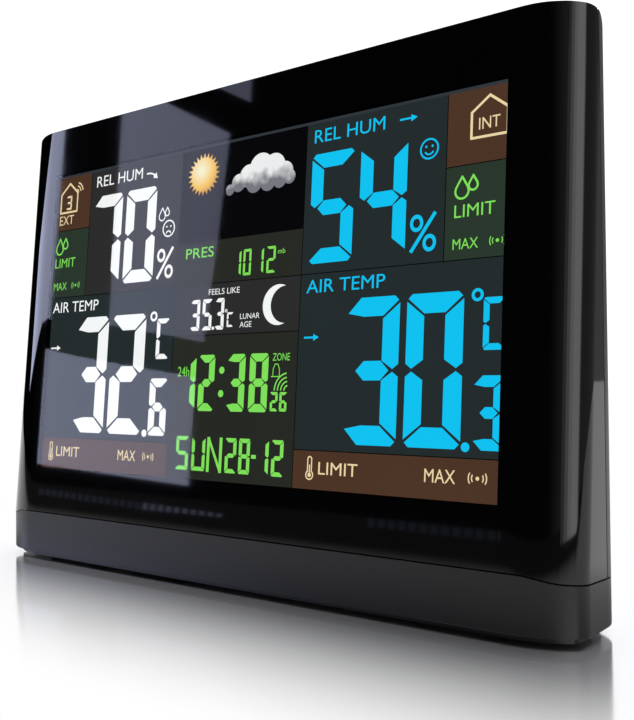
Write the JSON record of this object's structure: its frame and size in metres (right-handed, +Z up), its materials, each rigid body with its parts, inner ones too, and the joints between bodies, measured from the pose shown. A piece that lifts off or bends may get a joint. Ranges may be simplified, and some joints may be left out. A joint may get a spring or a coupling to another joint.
{
  "type": "home weather station",
  "caption": "Free-standing home weather station with a leaning glossy front, a large lit segment display, rear keys, a snooze bar, a battery bay and a weighted base.",
  "frame": {"origin": "middle of the overall box, on the table it stands on", "axes": "+X to the viewer's right along the display, +Y to the back, +Z up; the display faces -Y"},
  "size_m": [0.2014, 0.042, 0.142],
  "materials": {
    "clear_cover": "clear moulded acrylic with a polished face, black behind it",
    "mask_print": "black screen-printed border",
    "black_abs": "black moulded ABS",
    "shell_abs": "dark grey moulded ABS, satin spark texture",
    "base_abs": "charcoal moulded ABS, satin",
    "foam": "soft black foam gasket",
    "polariser_film": "smoke polarising film",
    "lcd_glass": "clear soda-lime glass",
    "diffuser_film": "white diffusing film",
    "guide_acrylic": "clear acrylic light guide",
    "white_abs": "white moulded ABS",
    "led": "LED packages on a white strip",
    "silicone": "striped conductive silicone rubber",
    "steel": "zinc-plated steel",
    "ballast_steel": "rolled steel sheet",
    "board": "green solder mask on glass epoxy",
    "radio_pcb": "blue solder mask on glass epoxy",
    "chip": "black epoxy chip package",
    "can": "drawn metal can",
    "capacitor": "dark blue sleeved aluminium can",
    "copper": "enamelled copper wire",
    "key_plastic": "black moulded key, fine satin",
    "stem_plastic": "natural nylon switch stem",
    "contact": "nickel-plated spring steel",
    "cell": "printed steel jacket",
    "foot_rubber": "black moulded rubber"
  },
  "bodies": {
    "console": {"front_lens": "clear_cover", "window_mask": "mask_print", "front_frame": "black_abs", "display_gasket": "foam", "front_polariser": "polariser_film", "front_glass": "lcd_glass", "rear_glass": "lcd_glass", "rear_polariser": "polariser_film", "diffuser_sheet": "diffuser_film", "light_guide": "guide_acrylic", "reflector_sheet": "diffuser_film", "led_strip": "led", "display_tray": "white_abs", "zebra_strip": "silicone", "tray_screws": "steel", "main_board": "board", "board_screws": "steel", "processor_chip": "chip", "driver_chips": "chip", "clock_crystal": "can", "storage_capacitors": "capacitor", "radio_board": "radio_pcb", "coil_antenna": "copper", "buzzer": "chip", "climate_sensor": "can", "pressure_sensor": "can", "rear_shell": "shell_abs", "case_screws": "steel", "key_board": "board", "key_switches": "chip", "key_board_screws": "steel", "snooze_switch": "board", "dimmer_switch": "can", "battery_tray": "black_abs", "battery_cells": "cell", "contact_springs": "contact", "contact_plates": "contact", "power_inlet": "chip", "inlet_pin": "contact", "base_band": "base_abs", "base_plate": "base_abs", "ballast_plate": "ballast_steel", "base_screws": "steel", "rubber_feet": "foot_rubber"},
    "mode_key": {"mode_key": "key_plastic", "mode_stem": "stem_plastic"},
    "up_key": {"up_key": "key_plastic", "up_stem": "stem_plastic"},
    "down_key": {"down_key": "key_plastic", "down_stem": "stem_plastic"},
    "channel_key": {"channel_key": "key_plastic", "channel_stem": "stem_plastic"},
    "alert_key": {"alert_key": "key_plastic", "alert_stem": "stem_plastic"},
    "memory_key": {"memory_key": "key_plastic", "memory_stem": "stem_plastic"},
    "snooze_bar": {"snooze_bar": "key_plastic", "snooze_stem": "stem_plastic"},
    "dimmer_slider": {"dimmer_slider": "key_plastic"},
    "battery_door": {"battery_door": "shell_abs"}
  },
  "joints": [
    {"name": "mode_press", "type": "slide", "parent": "console", "child": "mode_key", "axis": [0, -0.9954, -0.0956], "range_m": [0, 0.0005], "stiffness_N_per_m": 1500, "springref_m": -0.0004},
    {"name": "up_press", "type": "slide", "parent": "console", "child": "up_key", "axis": [0, -0.9954, -0.0956], "range_m": [0, 0.0005], "stiffness_N_per_m": 1500, "springref_m": -0.0004},
    {"name": "down_press", "type": "slide", "parent": "console", "child": "down_key", "axis": [0, -0.9954, -0.0956], "range_m": [0, 0.0005], "stiffness_N_per_m": 1500, "springref_m": -0.0004},
    {"name": "channel_press", "type": "slide", "parent": "console", "child": "channel_key", "axis": [0, -0.9954, -0.0956], "range_m": [0, 0.0005], "stiffness_N_per_m": 1500, "springref_m": -0.0004},
    {"name": "alert_press", "type": "slide", "parent": "console", "child": "alert_key", "axis": [0, -0.9954, -0.0956], "range_m": [0, 0.0005], "stiffness_N_per_m": 1500, "springref_m": -0.0004},
    {"name": "memory_press", "type": "slide", "parent": "console", "child": "memory_key", "axis": [0, -0.9954, -0.0956], "range_m": [0, 0.0005], "stiffness_N_per_m": 1500, "springref_m": -0.0004},
    {"name": "snooze_press", "type": "slide", "parent": "console", "child": "snooze_bar", "axis": [0, -0.9511, -0.309], "range_m": [0, 0.0007], "stiffness_N_per_m": 1500, "springref_m": -0.0004},
    {"name": "dimmer_slide", "type": "slide", "parent": "console", "child": "dimmer_slider", "axis": [1, 0, 0], "range_m": [-0.002, 0.002]},
    {"name": "battery_door_swing", "type": "hinge", "parent": "console", "child": "battery_door", "pos_m": [0, 0.0189, 0.02585], "axis": [-1, 0, 0], "range_deg": [0, 75]}
  ]
}
